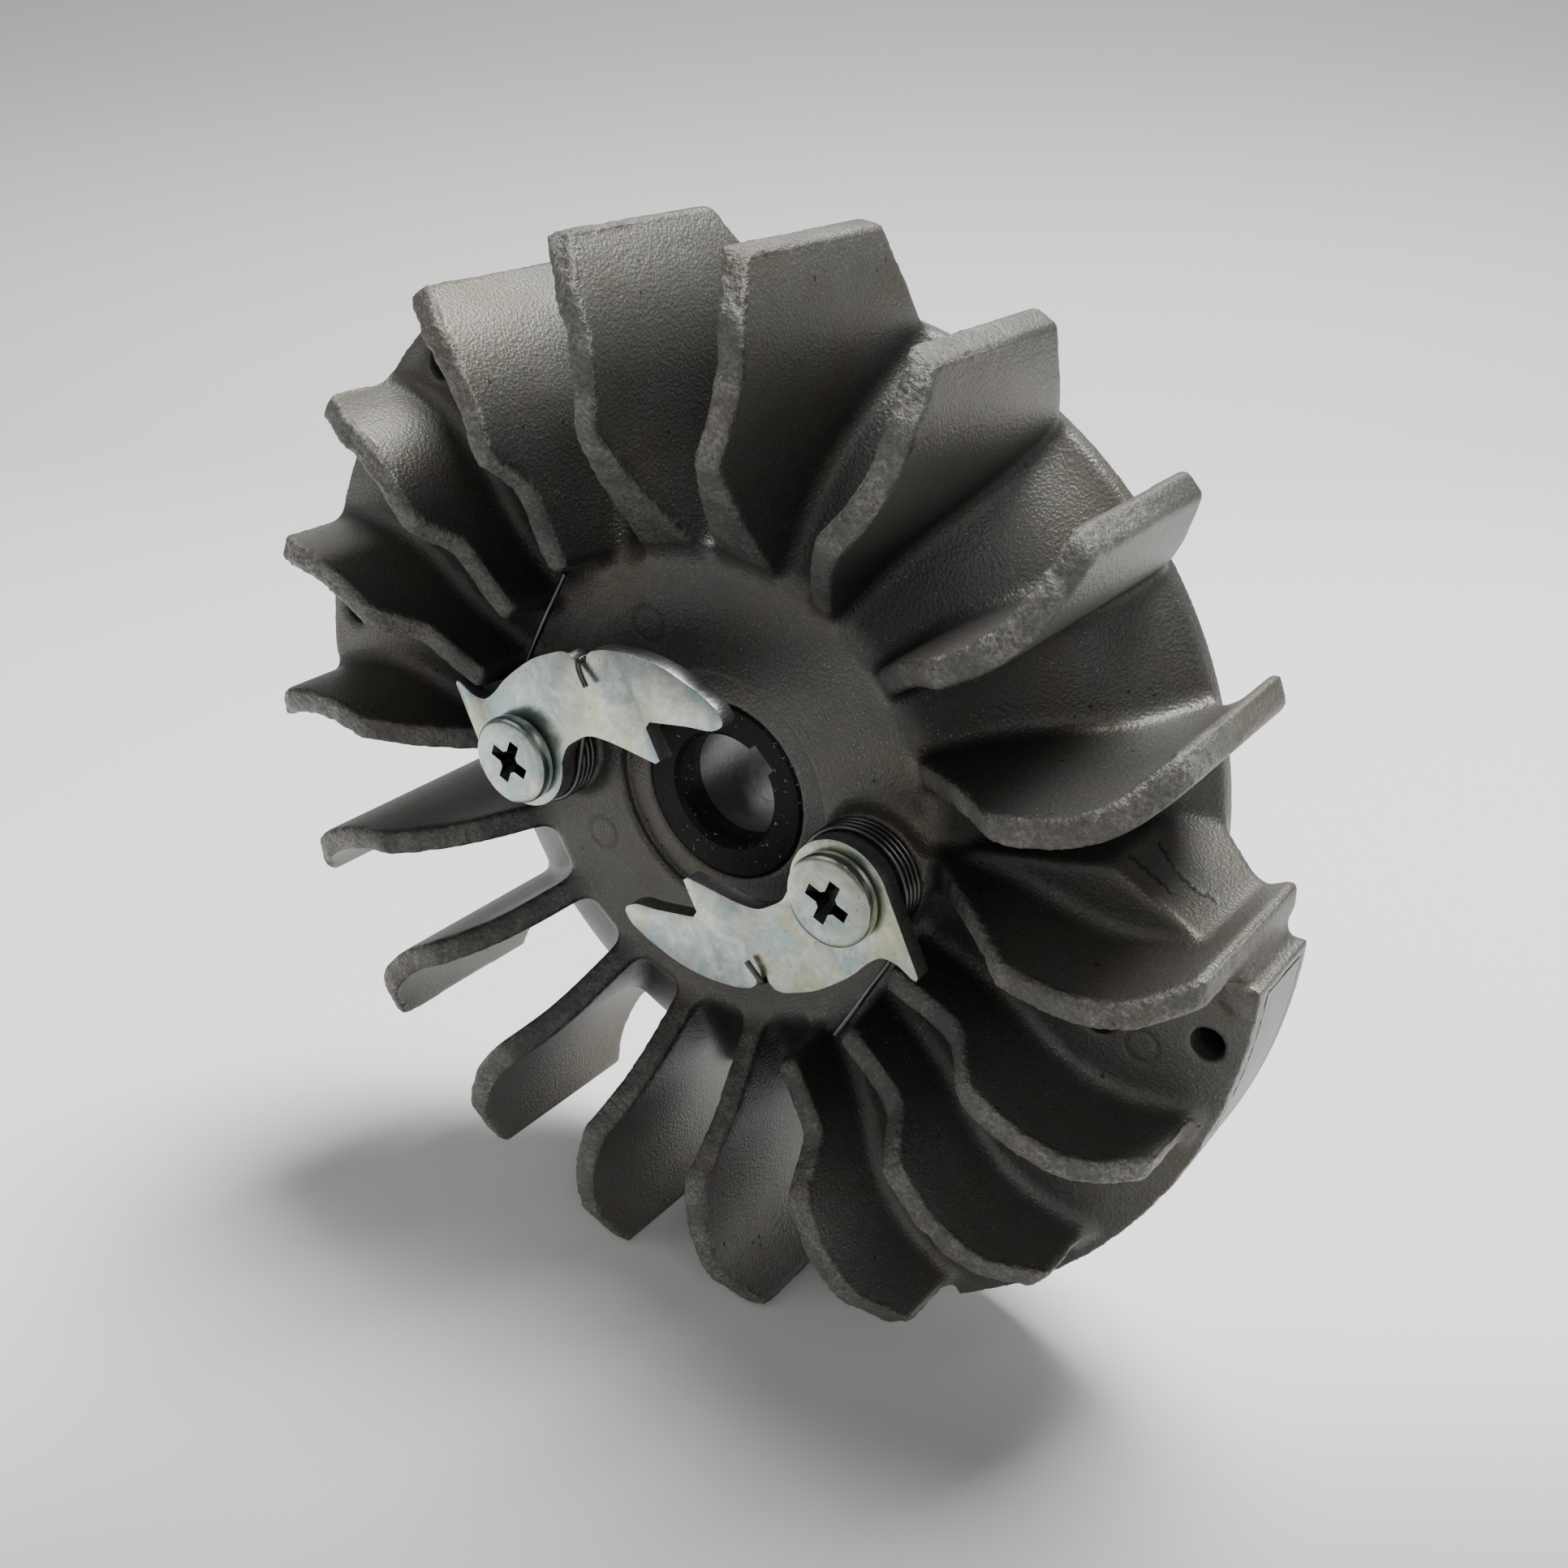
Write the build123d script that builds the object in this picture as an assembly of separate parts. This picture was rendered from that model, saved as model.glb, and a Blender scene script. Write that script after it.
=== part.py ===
from build123d import *
import os
from math import acos, atan2, cos, degrees, hypot, pi, radians, sin

# Fan flywheel of a small petrol engine, drawn about the wheel axis Z with the fan side at +Z.
# The finished solids are turned so that the axis lies along Y and the fan side faces -Y,
# with the origin on the axis at the front end of the crank bore.
# All lengths in millimetres, all angles in degrees.
os.makedirs("parts", exist_ok=True)

# ---- driving dimensions -------------------------------------------------
TIP_R = 59.0            # blade tip radius
BLADES = 18
FIRST_BLADE = 100.0     # angle of blade 1, the next ones follow clockwise
BLADE_T = 3.0           # blade thickness
HUB_FACE_Z = -8.4       # flat face of the hub
HUB_R = 26.9            # where the hub face turns down into the dish
RIM_R = 49.3            # dish rim radius
RIM_Z = -29.0           # back end of the rim
HUB_BACK_Z = -26.0      # back end of the hub boss
HUB_BOSS_R = 16.0
RECESS_R = 13.4         # shallow recess round the insert
RECESS_Z = -9.4
INSERT_R = 10.2
BORE_R = 6.3            # cylindrical land at the front of the crank bore
LAND_L = 4.0
TAPER_BACK_R = 7.2      # crank taper radius at the back end
BORE_CHAMFER = 0.5
KEY_W = 3.4
KEY_R = 7.5             # floor of the keyway, measured from the axis
KEY_ANGLE = 44.0
PLATE_Z = -8.2          # front face of the two rim sectors
PLATE_BACK_Z = -20.0
WEIGHT_R = 59.5         # rim radius of the counterweight sector
MAGNET_R = 61.0         # machined rim radius of the magnet sector
WEIGHT_ARC = (114.0, 176.5)
MAGNET_ARC = (-66.0, -3.5)
CORE_HOLE_R = 1.7
PIVOT_R = 20.85         # distance of the pawl pivots from the axis
PIVOT_ANGLES = (173.5, -6.5)
BOSS_R = 6.5
BOSS_Z = -6.0
PAWL_Z = -0.45          # front face of the pawls
PAWL_T = 2.0
LOBE_R = 5.85
BUSH_R = 5.1
SHOULDER_R = 3.5
PIN_GAP = 0.05          # running clearance of the pawl on its bush
SIDE_GAP = 0.3          # clearance above and below the pawl
SCREW_R = 2.5
HEAD_R = 4.95
HEAD_Z = 1.6
SCREW_END_Z = -17.0
WIRE_R = 0.32
COIL_R = 6.05
COIL_TOP_Z = -3.0
COIL_BOTTOM_Z = -5.62


def polar(r, deg, z=0.0):
    return Vector(r * cos(radians(deg)), r * sin(radians(deg)), z)


def ring_band(profile, arc=360.0, start=0.0):
    """Solid of revolution about Z from a closed outline of (radius, z) points."""
    face = make_face(Polyline(*[(r, 0, z) for r, z in profile], close=True))
    return Rot(0, 0, start) * revolve(face, Axis.Z, arc)


def prism(points, z0, z1):
    face = make_face(Polyline(*[(p.X, p.Y, z0) for p in points], close=True))
    return extrude(face, amount=z1 - z0, dir=(0, 0, 1))


def pin(r, z0, z1, at=Vector(0, 0, 0)):
    return Pos(at.X, at.Y, (z0 + z1) / 2) * Cylinder(r, abs(z1 - z0))


# ---- fan blades ---------------------------------------------------------
# centre line of a blade: radius and how far it leans from its own radial line
LEAN = [(24.0, -0.4), (31.0, -0.9), (37.0, -1.9), (42.0, -3.6), (47.0, -4.3),
        (52.0, -3.5), (56.0, -1.7), (60.5, 1.1)]


def blade_plan(root_w=BLADE_T):
    """Plan outline of one blade about angle zero; the root may be wider than the rest."""
    left = []
    right = []
    count = len(LEAN)
    mid = [polar(r, a) for r, a in LEAN]
    for i in range(count):
        before = mid[max(i - 1, 0)]
        after = mid[min(i + 1, count - 1)]
        along = (after - before).normalized()
        side = Vector(-along.Y, along.X, 0)
        width = BLADE_T
        if LEAN[i][0] < 42.0:
            share = (42.0 - LEAN[i][0]) / 18.0
            width = BLADE_T + (root_w - BLADE_T) * share
        left.append(mid[i] + side * (width / 2))
        right.append(mid[i] - side * (width / 2))
    edges = [Spline(*left), Line(left[-1], right[-1]), Spline(*reversed(right)),
             Line(right[0], left[0])]
    return make_face(edges)


# side outlines (radius, z): shared tip, then either a straight slope or a step to the hub
TIP = [(42.0, 4.4), (47.0, 4.2), (52.0, 3.9), (54.3, 3.4), (56.0, 2.2), (58.2, 0.9), (TIP_R, 0.0),
       (TIP_R, -21.5), (56.2, -22.2), (52.7, -24.3), (49.5, -26.6), (48.0, -27.5)]
UNDER = [(45.9, -25.6), (42.5, -21.5), (38.0, -17.5), (32.0, -13.8), (24.0, -12.0)]
SLOPED = TIP + UNDER + [(24.0, -10.1), (41.0, 4.2)]
STEPPED = TIP + UNDER + [(24.0, -9.6), (27.2, -9.4), (28.0, -1.2), (28.7, -0.5),
                         (36.8, -0.5), (40.6, 3.9)]


def blade(side_outline, root_w=BLADE_T):
    strip = Pos(0, 0, -32) * extrude(blade_plan(root_w), amount=40, dir=(0, 0, 1))
    return strip & ring_band(side_outline)


plain_blade = blade(SLOPED)
flared_blade = blade(SLOPED, 8.5)
stepped_blade = blade(STEPPED)

blades = []
for number in range(1, BLADES + 1):
    angle = FIRST_BLADE - 360.0 / BLADES * (number - 1)
    shape = plain_blade
    if number in (1, 2):
        shape = flared_blade
    if number in (7, 8, 9, 16, 17, 18):
        shape = stepped_blade
    blades.append(Rot(0, 0, angle) * shape)

# ---- dish and hub -------------------------------------------------------
front = Spline((HUB_R, 0, -9.0), (32.0, 0, -11.8), (39.0, 0, -16.2), (44.0, 0, -20.5),
               (47.3, 0, -24.6), (RIM_R, 0, -26.4))
back = Spline((46.9, 0, RIM_Z), (44.6, 0, -27.0), (41.3, 0, -22.9), (36.8, 0, -19.2),
              (32.0, 0, -17.5))
outline = [
    Line((0, 0, HUB_FACE_Z), (HUB_R - 1.2, 0, HUB_FACE_Z)),
    ThreePointArc((HUB_R - 1.2, 0, HUB_FACE_Z), (HUB_R - 0.5, 0, HUB_FACE_Z - 0.15),
                  (HUB_R, 0, -9.0)),
    front,
    Line((RIM_R, 0, -26.4), (RIM_R, 0, RIM_Z)),
    Line((RIM_R, 0, RIM_Z), (46.9, 0, RIM_Z)),
    back,
    Polyline((32.0, 0, -17.5), (HUB_BOSS_R + 1.2, 0, -17.5), (HUB_BOSS_R + 0.3, 0, -18.6),
             (HUB_BOSS_R - 0.5, 0, HUB_BACK_Z), (0, 0, HUB_BACK_Z), (0, 0, HUB_FACE_Z)),
]
dish = revolve(make_face(outline), Axis.Z, 360)

# ---- rim sectors, balance pad and pivot bosses --------------------------
ROOT = [(43.0, PLATE_BACK_Z), (38.0, -16.6), (30.0, -12.6), (24.0, -12.0)]


def rim_sector(rim_r, arc):
    outline_points = [(24.0, PLATE_Z), (rim_r - 0.4, PLATE_Z), (rim_r, PLATE_Z - 0.4),
                      (rim_r, PLATE_BACK_Z + 0.6), (rim_r - 0.6, PLATE_BACK_Z)] + ROOT
    return ring_band(outline_points, arc[1] - arc[0], arc[0])


def behind_blade(angle):
    """Region clockwise of a blade's centre line, used to end a rim sector inside that blade."""
    edge = [polar(r, angle + lean) for r, lean in LEAN] + [polar(66.0, angle + 5.0)]
    return prism(edge + [polar(80.0, angle - 35.0), polar(20.0, angle - 35.0)], -25.0, 0.0)


weight_sector = rim_sector(WEIGHT_R, WEIGHT_ARC) - behind_blade(120.0)
weight_step = ring_band([(40.0, -10.3), (WEIGHT_R - 0.6, -10.3), (WEIGHT_R - 0.6, PLATE_BACK_Z),
                         (43.0, PLATE_BACK_Z)], 2.0, WEIGHT_ARC[1])
magnet_sector = rim_sector(MAGNET_R, MAGNET_ARC) - behind_blade(-60.0)

# The block beside blade 6: its flat front is level with the magnet sector, its crest runs from
# the hub to a corner, and from there one flat wall, parallel to the axis, ends it.
pad_crest = [(31.2, 2.3), (36.6, 3.1), (40.8, 3.75), (45.3, 4.8), (54.6, 0.0), (55.4, -1.4)]
pad_root = [(51.9, -3.17), (46.9, -3.52), (41.9, -2.64), (37.0, -1.23), (27.0, -0.28)]
pad_section = ring_band([(25.0, -12.0), (25.0, PLATE_Z), (57.5, PLATE_Z), (57.5, -21.5),
                         (54.0, -22.9), (49.2, -26.6), (47.0, -25.6), (44.5, -22.6), (38.0, -17.5),
                         (32.0, -13.8)], 30.0, -12.0)
pad_outline = [Vector(x, y, 0) for x, y in pad_crest + pad_root]
balance_pad = prism(pad_outline, -28.0, PLATE_Z + 1.0) & pad_section
end_boss = pin(1.1, -10.0, PLATE_Z + 0.5, polar(59.0, -5.0))

casting = dish + blades + [weight_sector, weight_step, magnet_sector, balance_pad, end_boss]
pivots = [polar(PIVOT_R, a) for a in PIVOT_ANGLES]
for p in pivots:
    casting += pin(BOSS_R, -12.0, BOSS_Z, p)
casting -= pin(RECESS_R, RECESS_Z, HUB_FACE_Z)
casting -= pin(INSERT_R, HUB_BACK_Z - 1, RECESS_Z + 1)
for p in pivots:
    casting -= pin(SCREW_R, SCREW_END_Z, 0.0, p)
for r, a in ((55.4, 169.1), (55.2, 130.9), (57.4, -10.8), (47.0, -14.5)):
    casting -= pin(CORE_HOLE_R, -17.5, 0.0, polar(r, a))

# ---- parts cast into the rim --------------------------------------------
SHOE_R0 = 50.0
SHOE_Z = (-18.4, -10.4)
SHOE_ARCS = {"pole_shoe_upper": (-20.5, -4.6), "pole_shoe_lower": (-56.0, -40.0)}
SHEETS = 8
pocket_band = [(SHOE_R0, SHOE_Z[0]), (MAGNET_R, SHOE_Z[0]), (MAGNET_R, SHOE_Z[1]),
               (SHOE_R0, SHOE_Z[1])]
parts = {}
sheet_t = (SHOE_Z[1] - SHOE_Z[0]) / SHEETS
upper_holes = pin(CORE_HOLE_R, -17.5, 0.0, polar(57.4, -10.8))
for name, arc in SHOE_ARCS.items():
    casting -= ring_band(pocket_band, arc[1] - arc[0], arc[0])
    sheets = []
    for i in range(SHEETS):
        low = SHOE_Z[0] + i * sheet_t + 0.01
        high = SHOE_Z[0] + (i + 1) * sheet_t - 0.01
        sheet = ring_band([(SHOE_R0, low), (MAGNET_R, low), (MAGNET_R, high), (SHOE_R0, high)],
                          arc[1] - arc[0], arc[0])
        if name == "pole_shoe_upper":
            sheet -= upper_holes
        sheets.append(sheet)
    parts[name] = sheets

MAGNET_ARC_IN = (-39.0, -21.5)
magnet_band = [(48.0, -18.4), (56.0, -18.4), (56.0, -10.4), (48.0, -10.4)]
magnet = ring_band(magnet_band, MAGNET_ARC_IN[1] - MAGNET_ARC_IN[0], MAGNET_ARC_IN[0])
casting -= magnet
parts["magnet"] = [magnet]

slug_band = [(46.0, -18.6), (57.0, -18.6), (57.0, -11.4), (46.0, -11.4)]
slug = ring_band(slug_band, 24.0, 138.5)
casting -= slug
parts["counterweight"] = [slug]

# ---- hub insert ---------------------------------------------------------
insert_outline = [(BORE_R + BORE_CHAMFER, RECESS_Z), (INSERT_R - 0.4, RECESS_Z), (INSERT_R, RECESS_Z - 0.4),
                  (INSERT_R, HUB_BACK_Z + 0.4), (INSERT_R - 0.4, HUB_BACK_Z),
                  (TAPER_BACK_R, HUB_BACK_Z), (BORE_R + 0.05, RECESS_Z - LAND_L),
                  (BORE_R, RECESS_Z - LAND_L), (BORE_R, RECESS_Z - BORE_CHAMFER)]
insert = ring_band(insert_outline)
key_slot = Pos(KEY_R / 2, 0, (RECESS_Z + HUB_BACK_Z) / 2) * Box(KEY_R, KEY_W, 40)
insert -= Rot(0, 0, KEY_ANGLE) * key_slot
parts["hub_insert"] = [insert]
parts["fan_casting"] = [casting]

# ---- starter pawls, in their own frame ----------------------------------
# pivot at the origin, +X towards the wheel centre, lying in the plane of the hub
HOOK_EDGE = [(6.4, 3.3), (7.7, 4.6), (9.3, 5.7), (11.5, 6.05), (18.4, 5.8)]
HOOK_SIDE = [(18.9, 6.3), (16.9, 9.4), (17.3, 10.2)]
NOSE = [(22.2, 11.4), (25.2, 12.0), (26.4, 13.1), (25.6, 14.4), (22.9, 15.7)]
CROWN = [(22.9, 15.7), (19.0, 16.65), (15.2, 16.85), (11.0, 16.2), (9.3, 15.5)]
NOTCH = [(8.75, 14.9), (8.6, 14.0), (7.5, 13.2), (7.1, 13.8), (6.3, 14.3)]
OUTER = [(6.3, 14.3), (5.3, 14.2), (3.8, 13.5), (1.4, 12.1), (-1.0, 10.0), (-2.8, 8.1),
         (-4.2, 6.2), (-5.6, 4.95), (-7.2, 4.85), (-9.3, 5.75)]
SPIKE = [(-9.75, 5.75), (-9.9, 5.3)]


def at(points):
    return [Vector(u, v, 0) for u, v in points]


def pawl_face():
    tip = SPIKE[-1]
    reach = hypot(*tip)
    touch = degrees(atan2(tip[1], tip[0])) + degrees(acos(LOBE_R / reach))
    lobe_start = polar(LOBE_R, touch)
    lobe_end = polar(LOBE_R, 12.0)
    edges = [
        ThreePointArc(lobe_start, polar(LOBE_R, (touch + 372.0) / 2), lobe_end),
        Spline(lobe_end, *at(HOOK_EDGE), tangents=[(0, 1, 0), (1, -0.05, 0)]),
        Polyline(Vector(18.4, 5.8, 0), *at(HOOK_SIDE)),
        Spline(Vector(17.3, 10.2, 0), *at(NOSE), tangents=[(1, 0.2, 0), (-0.9, 0.4, 0)]),
        Spline(*at(CROWN)),
        Polyline(Vector(9.3, 15.5, 0), *at(NOTCH)),
        Spline(*at(OUTER)),
        Polyline(Vector(-9.3, 5.75, 0), *at(SPIKE), lobe_start),
    ]
    return make_face(edges)


def pawl_body():
    flat = Pos(0, 0, PAWL_Z - PAWL_T) * extrude(pawl_face(), amount=PAWL_T, dir=(0, 0, 1))
    return flat - pin(SHOULDER_R + PIN_GAP, -10.0, 5.0)


def bush_body():
    shoulder_z = PAWL_Z - PAWL_T - SIDE_GAP
    top_z = PAWL_Z + SIDE_GAP
    body = pin(BUSH_R, BOSS_Z, shoulder_z) + pin(SHOULDER_R, shoulder_z - 1.0, top_z)
    return body - pin(SCREW_R, -20.0, 5.0)


def screw_body():
    low = PAWL_Z + SIDE_GAP
    head = ring_band([(0, low), (HEAD_R, low), (HEAD_R, HEAD_Z - 0.35), (HEAD_R - 0.35, HEAD_Z),
                      (0, HEAD_Z)])
    shank = ring_band([(0, low), (SCREW_R, low), (SCREW_R, SCREW_END_Z + 0.6),
                       (SCREW_R - 0.6, SCREW_END_Z), (0, SCREW_END_Z)])
    cross = []
    for turn in (0.0, 90.0):
        arm = make_face(Polyline((-2.6, 0, HEAD_Z + 0.1), (2.6, 0, HEAD_Z + 0.1),
                                 (1.1, 0, HEAD_Z - 2.0), (-1.1, 0, HEAD_Z - 2.0), close=True))
        slot = Pos(0, 0.6, 0) * extrude(arm, amount=1.2, dir=(0, -1, 0))
        cross.append(Rot(0, 0, turn - 17.0) * slot)
    return (head + shank) - cross


def wire_run(line):
    section = Plane(origin=line @ 0, z_dir=line % 0) * Circle(WIRE_R)
    return sweep(section, path=line)


def spring_body():
    """Torsion spring: coil round the bush, anchor leg behind it, hook over the pawl edge."""
    exit_angle = -6.8
    entry_angle = 158.0
    turns = 3.0 + (exit_angle + 360.0 - entry_angle) / 360.0
    height = COIL_TOP_Z - COIL_BOTTOM_Z
    coil_line = Helix(pitch=height / turns, height=height, radius=COIL_R)
    coil_line = Pos(0, 0, COIL_BOTTOM_Z) * Rot(0, 0, entry_angle) * coil_line
    section = Plane(origin=coil_line @ 0, z_dir=coil_line % 0) * Circle(WIRE_R)
    coil = sweep(section, path=coil_line, is_frenet=True)
    anchor_points = [(1.3, 20.3, -5.4), (0.2, 17.9, -5.4), (-1.8, 13.4, -5.45),
                     (-4.0, 8.2, -5.55), coil_line @ 0]
    anchor = Spline(*anchor_points, tangents=[(-0.4, -0.9, 0), coil_line % 0])
    hook_points = [coil_line @ 1, (6.9, 7.0, -2.95), (7.5, 12.3, -2.95), (7.8, 13.9, -2.5),
                   (7.85, 14.1, -1.4), (7.85, 13.9, -0.25), (8.25, 13.2, 0.08),
                   (9.5, 11.8, 0.4)]
    hook = Spline(*hook_points, tangents=[coil_line % 1, (1, -1.3, 0.25)])
    return coil + wire_run(anchor) + wire_run(hook)


pawl = pawl_body()
bush = bush_body()
screw = screw_body()
spring = spring_body()
for side, p, angle in (("left", pivots[0], PIVOT_ANGLES[0]), ("right", pivots[1], PIVOT_ANGLES[1])):
    place = Pos(p.X, p.Y, 0) * Rot(0, 0, angle + 180.0)
    parts["pawl_" + side] = [place * pawl]
    parts["pawl_bush_" + side] = [place * bush]
    parts["pawl_screw_" + side] = [place * screw]
    parts["pawl_spring_" + side] = [place * spring]

# ---- turn the wheel axis from Z to Y and write one file per part --------
to_origin = Rot(90, 0, 0) * Pos(0, 0, BORE_CHAMFER - RECESS_Z)
for name, solids in parts.items():
    turned = [to_origin * s for s in solids]
    flat = []
    for t in turned:
        flat += t.solids()
    for i, s in enumerate(flat):
        s.label = name if len(flat) == 1 else name + "_" + str(i + 1)
    shape = flat[0] if len(flat) == 1 else Compound(label=name, children=flat)
    shape.label = name
    export_step(shape, "parts/" + name + ".step")
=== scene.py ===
"""Looks of a small engine's fan flywheel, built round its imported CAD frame."""
import math

import bmesh
import bpy
import numpy as np
import openvdb as vdb
from mathutils import Matrix, Vector, noise


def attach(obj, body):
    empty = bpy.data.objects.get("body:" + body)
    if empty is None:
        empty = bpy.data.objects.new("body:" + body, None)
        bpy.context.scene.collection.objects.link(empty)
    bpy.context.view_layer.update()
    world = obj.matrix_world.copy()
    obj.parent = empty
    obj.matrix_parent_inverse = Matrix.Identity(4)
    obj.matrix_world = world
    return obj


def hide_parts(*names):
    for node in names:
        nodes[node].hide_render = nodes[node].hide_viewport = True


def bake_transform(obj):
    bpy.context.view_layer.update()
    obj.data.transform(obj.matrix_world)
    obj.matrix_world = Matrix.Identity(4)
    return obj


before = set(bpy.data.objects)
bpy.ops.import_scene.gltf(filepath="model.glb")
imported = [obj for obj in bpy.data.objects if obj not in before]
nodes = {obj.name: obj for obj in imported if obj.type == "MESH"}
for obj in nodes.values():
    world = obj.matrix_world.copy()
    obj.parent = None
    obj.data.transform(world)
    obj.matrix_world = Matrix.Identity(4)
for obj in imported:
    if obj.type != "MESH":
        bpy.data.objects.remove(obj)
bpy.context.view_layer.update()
MM = 0.001

# ---- sizes in millimetres, about the wheel axis -------------------------
# wheel coordinates: (x, up, front), front is measured towards the pawl side from the origin
FRONT_SHIFT = 9.9           # the blade tips' front corners lie this far in front of the origin
PIVOT_R = 20.85
PIVOT_ANGLES = {"left": 173.5, "right": -6.5}
PAWL_FACE = -0.45
PAWL_T = 2.0
PAWL_HOLE_R = 3.55
LOBE_R = 5.85
HEAD_R = 4.95
HEAD_TOP = 1.6
HEAD_LOW = -0.15
SHANK_R = 2.5               # screw below its head
SCREW_END = -17.0
BUSH_R = 5.1
BUSH_STEP = -2.75           # where the bush narrows to go through the pawl
SHOULDER_R = 3.5
WIRE_R = 0.32
COIL_R = 6.05
COIL_TOP = -3.0
COIL_BOTTOM = -5.62
BOSS_FACE = -6.0
HUB_FACE = -8.4
PLATE_FACE = -8.2
RECESS_FACE = -9.4
LAND_END = -13.0            # back end of the bore's dark front part
BORE_REACH = 8.2            # radius that holds the bore wall and its keyway
INSERT_R = 10.2
RECESS_R = 13.4
BACK = -30.0                # behind the whole casting
CORE_HOLE_R = 1.7
CORE_HOLE_END = -17.5
SHOE_R = 50.0               # inner side of the pole shoes' slots
SHOE_BACK, SHOE_FRONT = -18.4, -10.4
MAGNET_R = 61.0


def wheel_coords(co):
    """Row metres (n, 3) to wheel millimetres x, up, front."""
    return co[:, 0] / MM, co[:, 2] / MM, -co[:, 1] / MM - FRONT_SHIFT


# ---- materials ----------------------------------------------------------
class Graph:
    """Small helper that adds shader nodes and joins them."""

    def __init__(self, name):
        self.mat = bpy.data.materials.new(name)
        self.mat.use_nodes = True
        self.tree = self.mat.node_tree
        self.tree.nodes.clear()
        self.out = self.tree.nodes.new("ShaderNodeOutputMaterial")
        self.bsdf = self.tree.nodes.new("ShaderNodeBsdfPrincipled")
        self.link(self.bsdf.outputs[0], self.out.inputs[0])
        self.place = self.tree.nodes.new("ShaderNodeTexCoord").outputs["Object"]

    def link(self, a, b):
        self.tree.links.new(a, b)

    def put(self, socket, value):
        if isinstance(value, bpy.types.NodeSocket):
            self.link(value, socket)
        else:
            socket.default_value = value

    def noise(self, scale, detail=3.0, rough=0.5, distortion=0.0, place=None):
        n = self.tree.nodes.new("ShaderNodeTexNoise")
        self.link(place or self.place, n.inputs["Vector"])
        n.inputs["Scale"].default_value = scale
        n.inputs["Detail"].default_value = detail
        n.inputs["Roughness"].default_value = rough
        n.inputs["Distortion"].default_value = distortion
        return n.outputs[0]

    def voronoi(self, scale, feature="F1"):
        n = self.tree.nodes.new("ShaderNodeTexVoronoi")
        n.feature = feature
        self.link(self.place, n.inputs["Vector"])
        n.inputs["Scale"].default_value = scale
        return n.outputs["Distance"]

    def ramp(self, value, stops):
        """Eased step between two (position, grey) stops."""
        n = self.tree.nodes.new("ShaderNodeValToRGB")
        n.color_ramp.interpolation = "EASE"
        for e, (pos, grey) in zip(n.color_ramp.elements, stops):
            e.position = pos
            e.color = (grey, grey, grey, 1)
        self.link(value, n.inputs[0])
        return n.outputs[0]

    def math(self, op, a, b, clamp=False):
        n = self.tree.nodes.new("ShaderNodeMath")
        n.operation = op
        n.use_clamp = clamp
        self.put(n.inputs[0], a)
        self.put(n.inputs[1], b)
        return n.outputs[0]

    def color(self, socket, value):
        """Sets a colour socket from another socket or from red, green and blue."""
        self.put(socket, value if isinstance(value, bpy.types.NodeSocket) else (*value, 1))

    def mix(self, fac, a, b):
        n = self.tree.nodes.new("ShaderNodeMix")
        n.data_type = "RGBA"
        self.put(n.inputs[0], fac)
        self.color(n.inputs[6], a)
        self.color(n.inputs[7], b)
        return n.outputs[2]

    def attribute(self, name):
        n = self.tree.nodes.new("ShaderNodeAttribute")
        n.attribute_name = name
        return n.outputs["Fac"]

    def stretch(self, scale):
        n = self.tree.nodes.new("ShaderNodeMapping")
        n.inputs["Scale"].default_value = scale
        self.link(self.place, n.inputs["Vector"])
        return n.outputs[0]

    def bump(self, height, distance, strength, before=None):
        n = self.tree.nodes.new("ShaderNodeBump")
        n.inputs["Strength"].default_value = strength
        n.inputs["Distance"].default_value = distance
        self.put(n.inputs["Height"], height)
        if before is not None:
            self.link(before, n.inputs["Normal"])
        return n.outputs[0]

    def finish(self, color, metallic, roughness, normal=None):
        self.color(self.bsdf.inputs["Base Color"], color)
        self.put(self.bsdf.inputs["Metallic"], metallic)
        self.put(self.bsdf.inputs["Roughness"], roughness)
        if normal is not None:
            self.link(normal, self.bsdf.inputs["Normal"])
        return self.mat


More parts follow.
